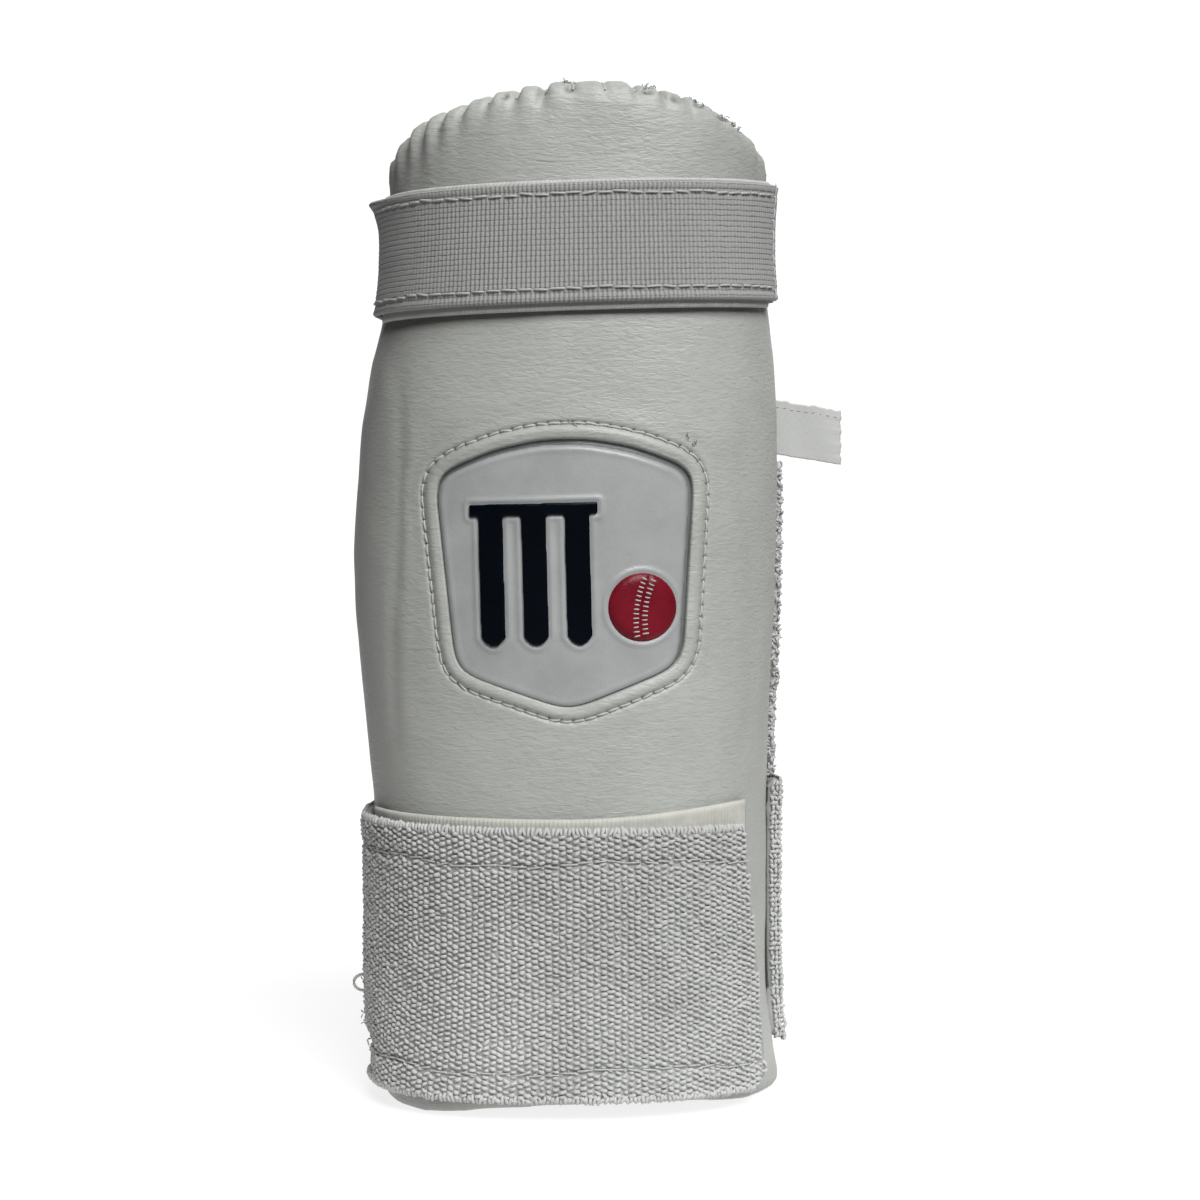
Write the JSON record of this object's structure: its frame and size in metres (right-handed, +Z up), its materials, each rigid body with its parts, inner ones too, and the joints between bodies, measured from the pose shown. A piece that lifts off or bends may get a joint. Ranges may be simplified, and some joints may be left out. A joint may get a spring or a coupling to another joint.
{
  "type": "cricket arm guard",
  "caption": "Padded half-tube forearm guard with a gathered round elbow end, towelling lining, elastic straps closed over the front and a raised shield badge.",
  "frame": {"origin": "on the ground, at the middle of the bounding box's base; the guard stands on its wrist end", "axes": "+Z up from the wrist end to the elbow end, -Y out of the padded front, +Y out of the open side that the forearm lies in, +X to the right seen from the front"},
  "size_m": [0.1322, 0.066, 0.265],
  "materials": {
    "white_leather": "padded white synthetic leather, fine grain, soft satin",
    "white_towelling": "white cotton towelling, overcast at the edge",
    "white_elastic": "woven white elastic with a fine square grid",
    "white_loop_elastic": "wide white elastic with coarse loops",
    "hook_tape": "white nylon hook tape, faintly ribbed",
    "white_vinyl": "white moulded vinyl, satin gloss",
    "black_vinyl": "black moulded vinyl, glossy",
    "red_vinyl": "red moulded vinyl, glossy",
    "satin_label": "white woven satin label, blank"
  },
  "bodies": {
    "root": {"padded_shell": "white_leather", "terry_lining": "white_towelling", "elbow_tape": "hook_tape", "elbow_strap": "white_elastic", "wrist_tape": "hook_tape", "wrist_strap": "white_loop_elastic", "badge_plate": "white_vinyl", "badge_wicket": "black_vinyl", "badge_ball": "red_vinyl", "size_label": "satin_label"}
  },
  "joints": []
}
